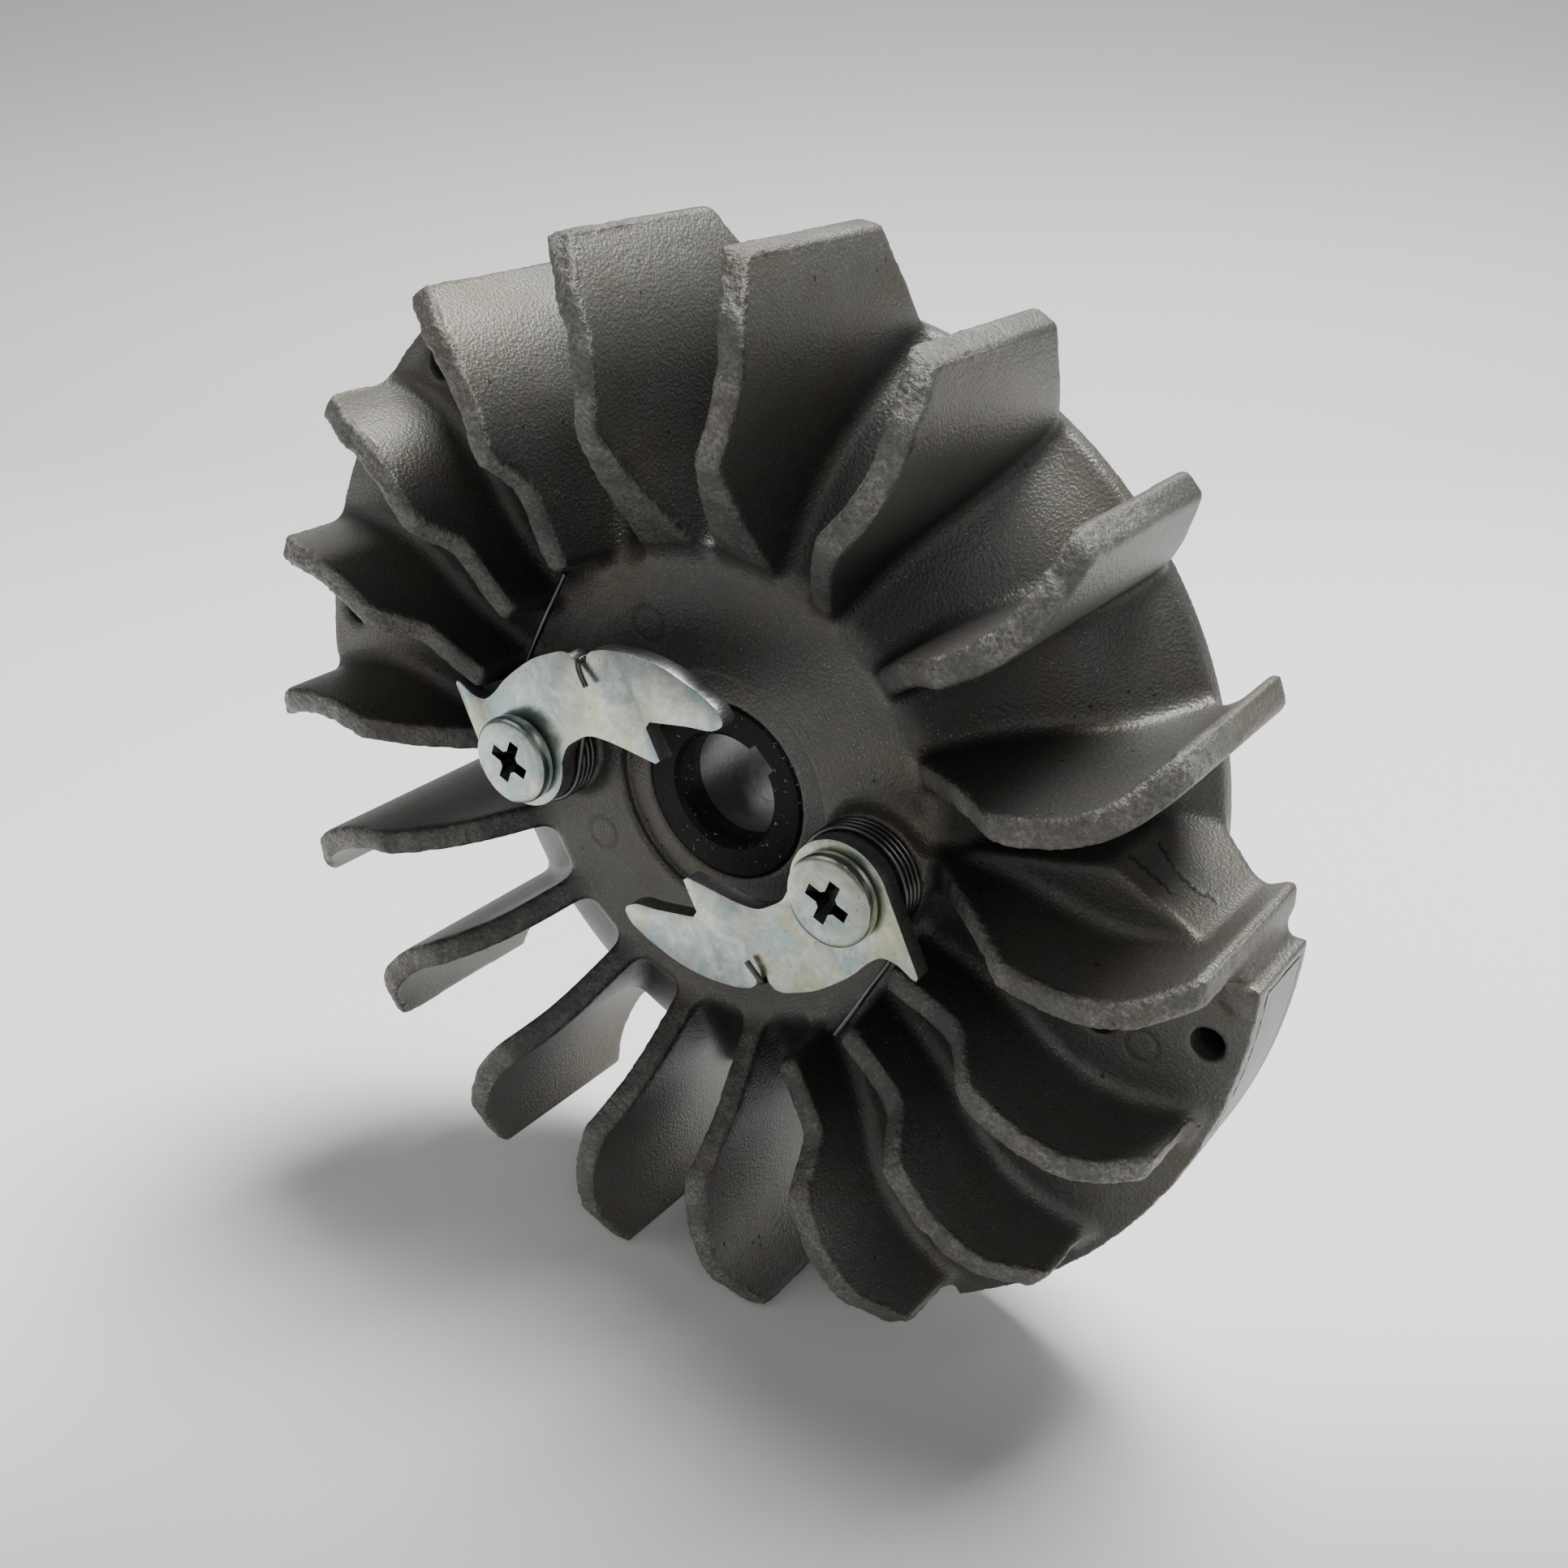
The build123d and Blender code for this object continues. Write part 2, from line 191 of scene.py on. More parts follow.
def cast_material():
    g = Graph("cast_aluminium")
    worn = g.attribute("worn")
    tip = g.attribute("tip")
    painted_root_shade = g.attribute("painted_root_shade")
    mark = g.attribute("mark")
    cloud = g.noise(110, 4, 0.65)
    grain = g.noise(2600, 3, 0.7)
    # painted light and shade: a shaded and a lit copy of the cast colour, mixed by the tip mask so
    # the blades are lighter outwards and darker at their roots
    shaded_cast_tone = g.mix(cloud, (0.062, 0.061, 0.0575), (0.118, 0.1155, 0.108))
    lit_cast_tone = g.mix(cloud, (0.115, 0.113, 0.104), (0.205, 0.201, 0.187))
    body = g.mix(tip, shaded_cast_tone, lit_cast_tone)
    glint = g.ramp(grain, [(0.52, 0.0), (0.72, 1.0)])
    body = g.mix(g.math("MULTIPLY", glint, 0.20), body, (0.40, 0.39, 0.36))
    stain = g.ramp(g.noise(60, 5, 0.7, 0.6), [(0.48, 0.0), (0.64, 1.0)])
    body = g.mix(g.math("MULTIPLY", stain, 0.34), body, (0.15, 0.115, 0.07))
    # painted shade: the blade roots near the hub are darkened towards near-black
    body = g.mix(g.math("MULTIPLY", painted_root_shade, 0.74), body, (0.018, 0.0175, 0.017))
    sparkle = g.ramp(g.voronoi(2100), [(0.08, 1.0), (0.20, 0.0)])
    sparkle = g.math("MULTIPLY", sparkle, g.ramp(g.noise(330, 2, 0.5), [(0.44, 0.0), (0.62, 0.42)]))
    body = g.mix(sparkle, body, (0.55, 0.54, 0.50))
    pit = g.ramp(g.voronoi(420), [(0.07, 1.0), (0.13, 0.0)])
    pit = g.math("MULTIPLY", pit, g.ramp(g.noise(90, 2, 0.5), [(0.50, 0.0), (0.62, 0.8)]))
    body = g.mix(pit, body, (0.014, 0.013, 0.012))
    body = g.mix(g.attribute("turned"), body, g.mix(grain, (0.17, 0.17, 0.165), (0.25, 0.25, 0.24)))
    flakes = g.ramp(g.noise(2300, 4, 0.65, 0.5), [(0.36, 0.0), (0.68, 1.0)])
    bare = g.mix(flakes, (0.14, 0.127, 0.106), (0.42, 0.41, 0.38))
    patchy = g.ramp(g.noise(230, 5, 0.7), [(0.38, 0.0), (0.62, 1.0)])
    wear = g.math("ADD", g.math("MULTIPLY", patchy, 0.55), 0.12, clamp=True)
    wear = g.math("MULTIPLY", wear, worn)
    wear = g.math("MULTIPLY", wear, g.math("SUBTRACT", 1.0, g.math("MULTIPLY", painted_root_shade, 0.6)))
    color = g.mix(wear, body, bare)
    color = g.mix(mark, color, (0.02, 0.018, 0.016))
    pebble = g.voronoi(3300, "SMOOTH_F1")
    skin = g.noise(2800, 3, 0.6)
    height = g.math("ADD", g.math("MULTIPLY", pebble, 0.9), skin)
    soft = g.bump(height, 0.00014, 0.50)
    pits = g.bump(g.math("MULTIPLY", g.noise(1100, 5, 0.7), worn), 0.0008, 0.8, soft)
    rough = g.math("ADD", g.math("MULTIPLY", grain, 0.24), 0.36)
    return g.finish(color, g.math("SUBTRACT", 0.64, g.math("MULTIPLY", wear, 0.25)), rough, pits)


def zinc_material(name, side=False, head=False):
    g = Graph(name)
    if side:
        lines = g.noise(1.0, 3, 0.6, 0.0, g.stretch((4200, 900, 4200)))
        color = g.mix(lines, (0.10, 0.104, 0.10), (0.46, 0.47, 0.455))
        return g.finish(color, 0.9, 0.34, g.bump(lines, 0.00016, 0.4))
    blotch = g.noise(300, 5, 0.68, 0.6)
    tint = g.noise(150, 3, 0.55)
    fine = g.noise(1100, 3, 0.65)
    cool, straw, light = (0.34, 0.43, 0.44), (0.50, 0.49, 0.33), (0.60, 0.625, 0.585)
    if head:
        cool, straw, light = (0.30, 0.39, 0.385), (0.42, 0.43, 0.31), (0.50, 0.545, 0.505)
    tinted = g.mix(g.ramp(tint, [(0.43, 0.0), (0.58, 1.0)]), cool, straw)
    color = g.mix(g.ramp(blotch, [(0.40, 0.0), (0.60, 1.0)]), tinted, light)
    mottle = g.ramp(fine, [(0.40, 1.0), (0.58, 0.0)])
    color = g.mix(g.math("MULTIPLY", mottle, 0.30), color, (0.30, 0.315, 0.30))
    speck = g.ramp(g.noise(1700, 2, 0.5), [(0.66, 0.0), (0.71, 1.0)])
    color = g.mix(g.math("MULTIPLY", speck, 0.5), color, (0.12, 0.12, 0.11))
    rough = g.math("ADD", g.math("MULTIPLY", blotch, 0.24), 0.10 if head else 0.18)
    dimple = g.bump(g.noise(500, 3, 0.5), 0.00012, 0.25)
    return g.finish(color, 0.92, rough, dimple)


def steel_material(name, low, high, roughness, scale=900, metallic=0.9, specks=False,
                   specular=None, relief=0.0002):
    g = Graph(name)
    n = g.noise(scale, 4, 0.6)
    color = g.mix(n, low, high)
    if specks:
        dots = g.ramp(g.noise(1700, 3, 0.6), [(0.66, 0.0), (0.71, 1.0)])
        color = g.mix(g.math("MULTIPLY", dots, 0.75), color, (0.50, 0.47, 0.40))
    if specular is not None:
        g.bsdf.inputs["Specular IOR Level"].default_value = specular
    rough = g.math("ADD", g.math("MULTIPLY", n, 0.2), roughness - 0.1)
    return g.finish(color, metallic, rough, g.bump(n, relief, 0.35))


cast = cast_material()
zinc = zinc_material("zinc_face")
zinc_side = zinc_material("zinc_sheared_side", side=True)
zinc_head = zinc_material("zinc_screw_head", head=True)
oxide = steel_material("black_oxide", (0.002, 0.0019, 0.0018), (0.009, 0.0085, 0.008), 0.52, 1200,
                       0.0, specks=True, specular=0.16)
machined = steel_material("machined_bore", (0.055, 0.057, 0.057), (0.12, 0.123, 0.123), 0.42, 700)
wire = steel_material("spring_wire", (0.07, 0.07, 0.07), (0.15, 0.15, 0.145), 0.28, 600, 0.95,
                      relief=0.00002)
recess_dark = steel_material("recess_shadow", (0.012, 0.014, 0.013), (0.05, 0.056, 0.052), 0.4, 900)
shoe = steel_material("pole_steel", (0.15, 0.15, 0.147), (0.23, 0.23, 0.225), 0.45, 900)
inner = steel_material("inner_iron", (0.09, 0.09, 0.09), (0.16, 0.16, 0.155), 0.55, 500)


def shade_smooth(obj, angle=None):
    mesh = obj.data
    mesh.polygons.foreach_set("use_smooth", [True] * len(mesh.polygons))
    if angle is not None:
        mesh.set_sharp_from_angle(angle=math.radians(angle))
    mesh.update()


def new_object(name, mesh, material, body, node=None):
    obj = bpy.data.objects.new(name, mesh)
    bpy.context.scene.collection.objects.link(obj)
    for m in material if isinstance(material, (list, tuple)) else [material]:
        obj.data.materials.append(m)
    if body:
        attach(obj, body)
    if node:
        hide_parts(node)
    return obj


# ---- cast body: fillets and worn edges from a level set of the CAD solid -
VOXEL = 0.3     # millimetres
FILLET = 1.3                # radius in the inner corners
EDGE = 0.5                  # radius on the outer edges
BAND = 9                    # width of the level set on each side, in voxels
MARGIN = 3.5                # room round the casting on the dense grid


def level_set(points, tris=None, quads=None):
    """Signed distances near a closed mesh of triangles or quads."""
    grid_space = vdb.createLinearTransform(VOXEL)
    empty_t = np.zeros((0, 3), np.uint32)
    empty_q = np.zeros((0, 4), np.uint32)
    return vdb.FloatGrid.createLevelSetFromPolygons(
        np.ascontiguousarray(points, np.float32),
        triangles=empty_t if tris is None else np.ascontiguousarray(tris, np.uint32),
        quads=empty_q if quads is None else np.ascontiguousarray(quads, np.uint32),
        transform=grid_space, halfWidth=BAND)


def offset_again(grid, distance):
    """A fresh level set of the surface at that distance from the grid's own."""
    points, quads = grid.convertToQuads(distance)
    return level_set(points, quads=quads[:, ::-1])


def smooth_step(x, low, high):
    t = np.clip((x - low) / (high - low), 0, 1)
    return t * t * (3 - 2 * t)


def mesh_arrays(obj):
    """Vertices in row millimetres and triangles."""
    mesh = obj.data
    mesh.calc_loop_triangles()
    co = np.empty(len(mesh.vertices) * 3, np.float32)
    mesh.vertices.foreach_get("co", co)
    tris = np.empty(len(mesh.loop_triangles) * 3, np.int32)
    mesh.loop_triangles.foreach_get("vertices", tris)
    return co.reshape(-1, 3) / MM, tris.reshape(-1, 3)


class Field:
    """Dense signed distances, in millimetres, on a level set's voxels."""

    def __init__(self, grid, low, high):
        self.low = np.floor(np.array(low) / VOXEL).astype(int)
        self.size = np.ceil((np.array(high) - np.array(low)) / VOXEL).astype(int)
        self.d = np.empty(tuple(self.size), np.float32)
        grid.copyToArray(self.d, ijk=tuple(int(v) for v in self.low))
        axes = [(np.arange(n) + lo) * VOXEL for n, lo in zip(self.size, self.low)]
        self.x = axes[0][:, None, None].astype(np.float32)
        self.front = (-axes[1] - FRONT_SHIFT)[None, :, None].astype(np.float32)
        self.up = axes[2][None, None, :].astype(np.float32)

    def add(self, distance):
        self.d = np.minimum(self.d, distance)

    def cut(self, distance):
        self.d = np.maximum(self.d, -distance)

    def rod(self, x, up, radius, low, high):
        """Distances of a cylinder parallel to the axis."""
        radial = np.hypot(self.x - x, self.up - up) - radius
        axial = np.maximum(low - self.front, self.front - high)
        return np.maximum(radial, axial)

    def sector(self, r0, r1, low, high, a0, a1):
        """Distances of a ring's part between two angles in degrees."""
        r = np.hypot(self.x, self.up)
        flat = np.maximum(low - self.front, self.front - high)
        mid, half = math.radians((a0 + a1) / 2), math.radians((a1 - a0) / 2)
        turn = np.arctan2(self.up, self.x) - mid
        turn = np.abs((turn + math.pi) % (2 * math.pi) - math.pi) - half
        side = np.sin(np.clip(turn, -1.2, 1.2)) * r
        return np.maximum(np.maximum(np.maximum(r - r1, r0 - r), flat), side)

    def grid(self):
        g = vdb.FloatGrid(BAND * VOXEL)
        g.transform = vdb.createLinearTransform(VOXEL)
        g.copyFromArray(np.ascontiguousarray(self.d), ijk=tuple(int(v) for v in self.low))
        return g


def wheel_polar(r, deg):
    """x and up of a point at that radius and angle."""
    return r * math.cos(math.radians(deg)), r * math.sin(math.radians(deg))


# radius and angle of the round core holes; start and end angle of the pole shoes' slots
CORE_HOLES = ((55.4, 169.1), (55.2, 130.9), (57.4, -10.8), (47.0, -14.5))
SHOE_ARCS = ((-20.5, -4.6), (-56.0, -40.0))
# where the dish's front face lies: (radius, front)
DISH_FLOOR = ((0, HUB_FACE), (26.5, -8.6), (32, -11.8), (39, -16.2), (44, -20.5), (47.3, -24.6),
              (49.5, -26.5), (70, BACK))
# round ejector marks: (radius, angle, mark's radius)
EJECTOR_MARKS = ((19.4, 115.9, 1.9), (18.9, 208.6, 1.9), (51.8, -14.8, 1.7))
# the balance pad's end wall: its corner and direction in the wheel's plane, and the cracks on it,
# as (millimetres along the wall, front)
PAD_CORNER = (45.3, 4.8)
PAD_ALONG = (0.8886, -0.4586)
CRACKS = (((1.65, -16.3), (4.6, -14.4)), ((4.6, -14.4), (7.3, -14.0)), ((7.3, -14.0), (9.2, -14.8)),
          ((0.75, -11.65), (4.0, -11.3)), ((4.3, -11.5), (5.8, -11.2)))


def cast_body():
    """The CAD casting with fillets in its corners, rounded edges, and sharp machined seats."""
    points, tris = mesh_arrays(nodes["fan_casting"])
    low, high = points.min(0) - MARGIN, points.max(0) + MARGIN
    f = Field(level_set(points, tris=tris), low, high)

    # the seats are plugged, so that rounding leaves them alone
    f.add(f.rod(0, 0, INSERT_R + 0.6, -26.0, RECESS_FACE))
    for a0, a1 in SHOE_ARCS:
        f.add(f.sector(SHOE_R - 1.0, MAGNET_R, -19.0, -9.5, a0 - 0.6, a1 + 0.6))
    for angle in PIVOT_ANGLES.values():
        f.add(f.rod(*wheel_polar(PIVOT_R, angle), 3.2, -16.5, BOSS_FACE))

    grid = offset_again(f.grid(), 0.0)
    for distance in (FILLET, -FILLET, -EDGE, EDGE):
        grid = offset_again(grid, distance)

    # the machined sector and the seats are put back sharp
    f = Field(grid, low, high)
    f.add(f.sector(46.0, MAGNET_R, -20.0, PLATE_FACE, -59.0, -3.5))
    f.cut(f.rod(0, 0, INSERT_R, BACK, 0.0))
    f.cut(f.rod(0, 0, RECESS_R, RECESS_FACE, HUB_FACE + 0.5))
    for r, a in CORE_HOLES:
        f.cut(f.rod(*wheel_polar(r, a), CORE_HOLE_R, CORE_HOLE_END, 5.0))
    for a0, a1 in SHOE_ARCS:
        f.cut(f.sector(SHOE_R, MAGNET_R + 2.0, SHOE_BACK, SHOE_FRONT, a0, a1))
    points, quads = f.grid().convertToQuads(0.0)
    mesh = bpy.data.meshes.new("fan_wheel_cast")
    mesh.vertices.add(len(points))
    mesh.vertices.foreach_set("co", (points * MM).ravel())
    mesh.loops.add(len(quads) * 4)
    mesh.loops.foreach_set("vertex_index", quads.ravel().astype(np.int32))
    mesh.polygons.add(len(quads))
    mesh.polygons.foreach_set("loop_start", np.arange(len(quads), dtype=np.int32) * 4)
    mesh.update(calc_edges=True)
    return mesh


def vertex_array(mesh, name):
    values = np.empty(len(mesh.vertices) * 3, np.float32)
    mesh.vertices.foreach_get(name, values)
    return values.reshape(-1, 3)


def paint_cast(mesh):
    """Masks for the shader (wear, painted light towards the blade tips, painted shade at the blade
    roots), ejector circles, the pad's cracks and small dents on worn edges.
    """
    co = vertex_array(mesh, "co")
    normal = vertex_array(mesh, "normal")
    x, up, front = wheel_coords(co)
    r = np.hypot(x, up)
    angle = np.degrees(np.arctan2(up, x))
    floor = np.interp(r, *zip(*DISH_FLOOR))
    weight = (angle > 116) & (angle < 179) & (r < 60)
    magnet = (angle > -64) & (angle < -3)
    pad_along = (x - PAD_CORNER[0]) * PAD_ALONG[0] + (up - PAD_CORNER[1]) * PAD_ALONG[1]
    pad_off = (up - PAD_CORNER[1]) * PAD_ALONG[0] - (x - PAD_CORNER[0]) * PAD_ALONG[1]
    pad = (pad_off < 0.9) & (angle > -4.2) & (angle < 8) & (r > 27) & (r < 55.8)
    pad &= up < PAD_CORNER[1] + 0.18 * (x - PAD_CORNER[0]) + 0.9
    floor = np.where(weight | magnet | pad, np.maximum(floor, PLATE_FACE), floor)
    above = front - floor
    facing = -normal[:, 1]
    outward = (normal[:, 0] * x + normal[:, 2] * up) / np.maximum(r, 1)
    worn = smooth_step(facing, 0.05, 0.6) * smooth_step(above, 1.8, 3.2)
    rim = smooth_step(outward, 0.45, 0.85) * smooth_step(r, 56.5, 58.0) * smooth_step(front, -21, -3)
    worn = np.clip(np.maximum(worn, rim * 0.8), 0, 1) * (0.5 + 0.5 * smooth_step(r, 27, 54))
    # tip: painted light, paler towards the rim, the blades' tops and on the dish floor; the roots
    # are left darker as painted shade
    tip = smooth_step(r, 30, 61) * 0.75 + smooth_step(above, 1, 16) * 0.15
    tip = np.where(above < 1.0, np.maximum(tip, 0.35 * smooth_step(r, 20, 40)), tip)
    # painted shade at the blade roots, strongest just outside the hub and fading out by radius 50
    painted_root_shade = (1 - smooth_step(r, 28.0, 50.0)) * smooth_step(r, 26.3, 28.5)
    painted_root_shade = painted_root_shade * (1 - 0.45 * worn)
    mark = np.zeros(len(co))
    moved = co.copy()
    for ring_r, ring_a, ring_size in EJECTOR_MARKS:
        cx, cz = wheel_polar(ring_r, ring_a)
        gap = np.abs(np.hypot(x - cx, up - cz) - ring_size)
        line = (1 - smooth_step(gap, 0.08, 0.42)) * (facing > 0.8)
        moved[:, 1] += line * 0.10 * MM
        mark = np.maximum(mark, line * 0.30)
    off_wall = normal[:, 0] * -PAD_ALONG[1] + normal[:, 2] * PAD_ALONG[0]
    wall = (np.abs(pad_off) < 0.8) & (off_wall > 0.6)
    for start, end in CRACKS:
        a, run = np.array(start), np.array(end) - np.array(start)
        share = ((pad_along - a[0]) * run[0] + (front - a[1]) * run[1]) / (run @ run)
        share = np.clip(share, 0, 1)
        wave = 0.16 * np.sin(pad_along * 5.3) + 0.10 * np.sin(pad_along * 11.9)
        gap = np.hypot(pad_along - a[0] - share * run[0], front - a[1] - share * run[1] + wave)
        line = (1 - smooth_step(gap, 0.05, 0.34)) * wall * (pad_along > 0.3) * (pad_along < 9.6)
        moved -= line[:, None] * normal * 0.2 * MM
        mark = np.maximum(mark, line * 0.9)
    turned = smooth_step(r, 60.2, 60.7) * smooth_step(outward, 0.6, 0.9)
    masks = {"worn": worn * (1 - turned), "tip": np.clip(tip, 0, 1), "painted_root_shade": painted_root_shade, "mark": mark,
             "turned": turned}
    for name, values in masks.items():
        attribute = mesh.attributes.new(name, "FLOAT", "POINT")
        attribute.data.foreach_set("value", values.astype(np.float32))
    for i in np.nonzero(worn > 0.05)[0]:
        p = Vector(co[i].tolist()) / MM
        dent = noise.noise(p * 0.55) * 0.20 + noise.noise(p * 1.7) * 0.16
        moved[i] += normal[i] * (min(dent, 0.10) * worn[i] * MM)
    mesh.vertices.foreach_set("co", moved.ravel())
    mesh.update()


cast_mesh = cast_body()
paint_cast(cast_mesh)
cast_obj = new_object("fan_wheel_cast", cast_mesh, cast, "wheel", "fan_casting")
shade_smooth(cast_obj)


# ---- pawls --------------------------------------------------------------
# plan outline in the pawl's own millimetres (u, v) about its pivot, in order from the lobe
HOOK_EDGE = [(6.4, 3.3), (7.7, 4.6), (9.3, 5.7), (11.5, 6.05), (18.4, 5.8)]
HOOK_SIDE = [(18.9, 6.3), (16.9, 9.4), (17.3, 10.2)]
NOSE = [(22.2, 11.4), (25.2, 12.0), (26.4, 13.1), (25.6, 14.4), (22.9, 15.7)]
CROWN = [(22.9, 15.7), (19.0, 16.65), (15.2, 16.85), (11.0, 16.2), (9.3, 15.5)]
NOTCH = [(8.75, 14.9), (8.6, 14.0), (7.5, 13.2), (7.1, 13.8), (6.3, 14.3)]
OUTER = [(6.3, 14.3), (5.3, 14.2), (3.8, 13.5), (1.4, 12.1), (-1.0, 10.0), (-2.8, 8.1),
         (-4.2, 6.2), (-5.6, 4.95), (-7.2, 4.85), (-9.3, 5.75)]
SPIKE = [(-9.75, 5.75), (-9.9, 5.3)]


def through(points, steps=6):
    """Smooth curve through plan points (centripetal Catmull-Rom)."""
    p = [np.array(q, float) for q in points]
    p = [2 * p[0] - p[1]] + p + [2 * p[-1] - p[-2]]
    out = []
    for i in range(1, len(p) - 2):
        t = [0.0]
        for k in range(3):
            t.append(t[-1] + math.sqrt(np.linalg.norm(p[i + k] - p[i + k - 1])) + 1e-6)
        for s in range(steps):
            u = t[1] + (t[2] - t[1]) * s / steps
            a = [(t[k + 1] - u) / (t[k + 1] - t[k]) * p[i - 1 + k]
                 + (u - t[k]) / (t[k + 1] - t[k]) * p[i + k] for k in range(3)]
            b = [(t[k + 2] - u) / (t[k + 2] - t[k]) * a[k]
                 + (u - t[k]) / (t[k + 2] - t[k]) * a[k + 1] for k in range(2)]
            out.append((t[2] - u) / (t[2] - t[1]) * b[0] + (u - t[1]) / (t[2] - t[1]) * b[1])
    out.append(p[-2])
    return out


def pawl_outline():
    tip = SPIKE[-1]
    touch = math.degrees(math.atan2(tip[1], tip[0]))
    touch += math.degrees(math.acos(LOBE_R / math.hypot(*tip)))
    lobe = [np.array(wheel_polar(LOBE_R, touch + (372.0 - touch) * i / 40)) for i in range(41)]
    line = lobe[:-1] + through([tuple(lobe[-1])] + HOOK_EDGE)[:-1]
    line += [np.array(HOOK_EDGE[-1])] + [np.array(q) for q in HOOK_SIDE]
    line += through([HOOK_SIDE[-1]] + NOSE)[1:-1]
    line += through(CROWN)[:-1] + [np.array(CROWN[-1])] + [np.array(q) for q in NOTCH[:-1]]
    line += through(OUTER)[:-1] + [np.array(OUTER[-1])] + [np.array(q) for q in SPIKE]
    return line


def pawl_place(side):
    """Matrix from a pawl's own millimetres (u, v, front) to row metres."""
    angle = PIVOT_ANGLES[side]
    px, pz = wheel_polar(PIVOT_R, angle)
    turn = math.radians(angle + 180)
    c, s = math.cos(turn), math.sin(turn)
    m = Matrix(((c, -s, 0, px), (0, 0, -1, -FRONT_SHIFT), (s, c, 0, pz), (0, 0, 0, 1)))
    return Matrix.Diagonal((MM, MM, MM, 1)) @ m


def to_mesh(bm, name, place=None):
    """Moves a bmesh by the matrix place, turns its faces outwards and makes it a mesh."""
    if place is not None:
        bmesh.ops.transform(bm, matrix=place, verts=bm.verts)
    bmesh.ops.recalc_face_normals(bm, faces=bm.faces)
    mesh = bpy.data.meshes.new(name)
    bm.to_mesh(mesh)
    bm.free()
    return mesh


def pawl_mesh(side):
    """Stamped plate: rounded punch side, hole for the bush, sheared edge as its own material."""
    bm = bmesh.new()
    line = pawl_outline()
    hole = [np.array(wheel_polar(PAWL_HOLE_R, 360 * i / 48)) for i in range(48)]
    loops = []
    for ring in (line, hole):
        verts = [bm.verts.new((q[0], q[1], PAWL_FACE)) for q in ring]
        pairs = zip(verts, verts[1:] + verts[:1])
        loops.append([bm.edges.new(pair) for pair in pairs])
    bmesh.ops.triangle_fill(bm, edges=loops[0] + loops[1], use_beauty=True)
    inside = [f for f in bm.faces if math.hypot(*f.calc_center_median()[:2]) < PAWL_HOLE_R - 0.25]
    bmesh.ops.delete(bm, geom=inside, context="FACES")
    for f in bm.faces:
        if f.normal.z < 0:
            f.normal_flip()
    top = list(bm.faces)
    made = bmesh.ops.extrude_face_region(bm, geom=top)
    low = [v for v in made["geom"] if isinstance(v, bmesh.types.BMVert)]
    bmesh.ops.translate(bm, verts=low, vec=(0, 0, -PAWL_T))
    bmesh.ops.recalc_face_normals(bm, faces=bm.faces)
    for f in bm.faces:
        f.material_index = 1 if abs(f.normal.z) < 0.5 else 0
    rim = [e for e in bm.edges if len(e.link_faces) == 2
           and abs(e.link_faces[0].normal.z) + abs(e.link_faces[1].normal.z) > 0.9
           and e.calc_face_angle(0) > 1.0]
    bmesh.ops.bevel(bm, geom=rim, offset=0.16, segments=2, profile=0.5, affect="EDGES",
                    clamp_overlap=True)
    return to_mesh(bm, "pawl_plate_" + side, pawl_place(side))


def lathe(name, profile, place, steps=96):
    """Closed turned solid from (radius, front) points."""
    bm = bmesh.new()
    rings = []
    for r, z in profile:
        if r == 0:
            rings.append([bm.verts.new((0, 0, z))])
        else:
            rings.append([bm.verts.new((*wheel_polar(r, 360 * i / steps), z)) for i in range(steps)])
    for a, b in zip(rings, rings[1:]):
        for i in range(steps):
            j = (i + 1) % steps
            loop = [a[i % len(a)], a[j % len(a)], b[j % len(b)], b[i % len(b)]]
            loop = list(dict.fromkeys(loop))
            if len(loop) > 2:
                bm.faces.new(loop)
    if len(rings[0]) > 1 and len(rings[-1]) > 1:
        for i in range(steps):
            j = (i + 1) % steps
            bm.faces.new([rings[-1][i], rings[-1][j], rings[0][j], rings[0][i]])
    return to_mesh(bm, name, place)


# tapered blocks that cut the recess: angle, half length at the top and bottom, half width
CROSS_BLOCKS = ((0, 2.75, 1.0, 0.70), (90, 2.75, 1.0, 0.70), (45, 1.30, 0.7, 1.30))
CROSS_DEPTH = 1.5
CROSS_REACH = 2.9
CROSS_TURN = -17.0
SCREW_PROFILE = [(0, HEAD_TOP + 0.05), (2.8, HEAD_TOP + 0.03), (4.3, HEAD_TOP - 0.02),
                 (4.62, HEAD_TOP - 0.08), (4.85, HEAD_TOP - 0.24), (HEAD_R, HEAD_TOP - 0.5),
                 (HEAD_R, HEAD_LOW + 0.35), (4.85, HEAD_LOW + 0.12), (4.65, HEAD_LOW),
                 (SHANK_R, HEAD_LOW), (SHANK_R, SCREW_END + 0.6), (1.9, SCREW_END), (0, SCREW_END)]
BUSH_PROFILE = [(SHANK_R, BOSS_FACE), (BUSH_R - 0.1, BOSS_FACE), (BUSH_R, BOSS_FACE + 0.2),
                (BUSH_R, BUSH_STEP - 0.1), (BUSH_R - 0.1, BUSH_STEP), (SHOULDER_R, BUSH_STEP),
                (SHOULDER_R, HEAD_LOW), (SHANK_R, HEAD_LOW)]


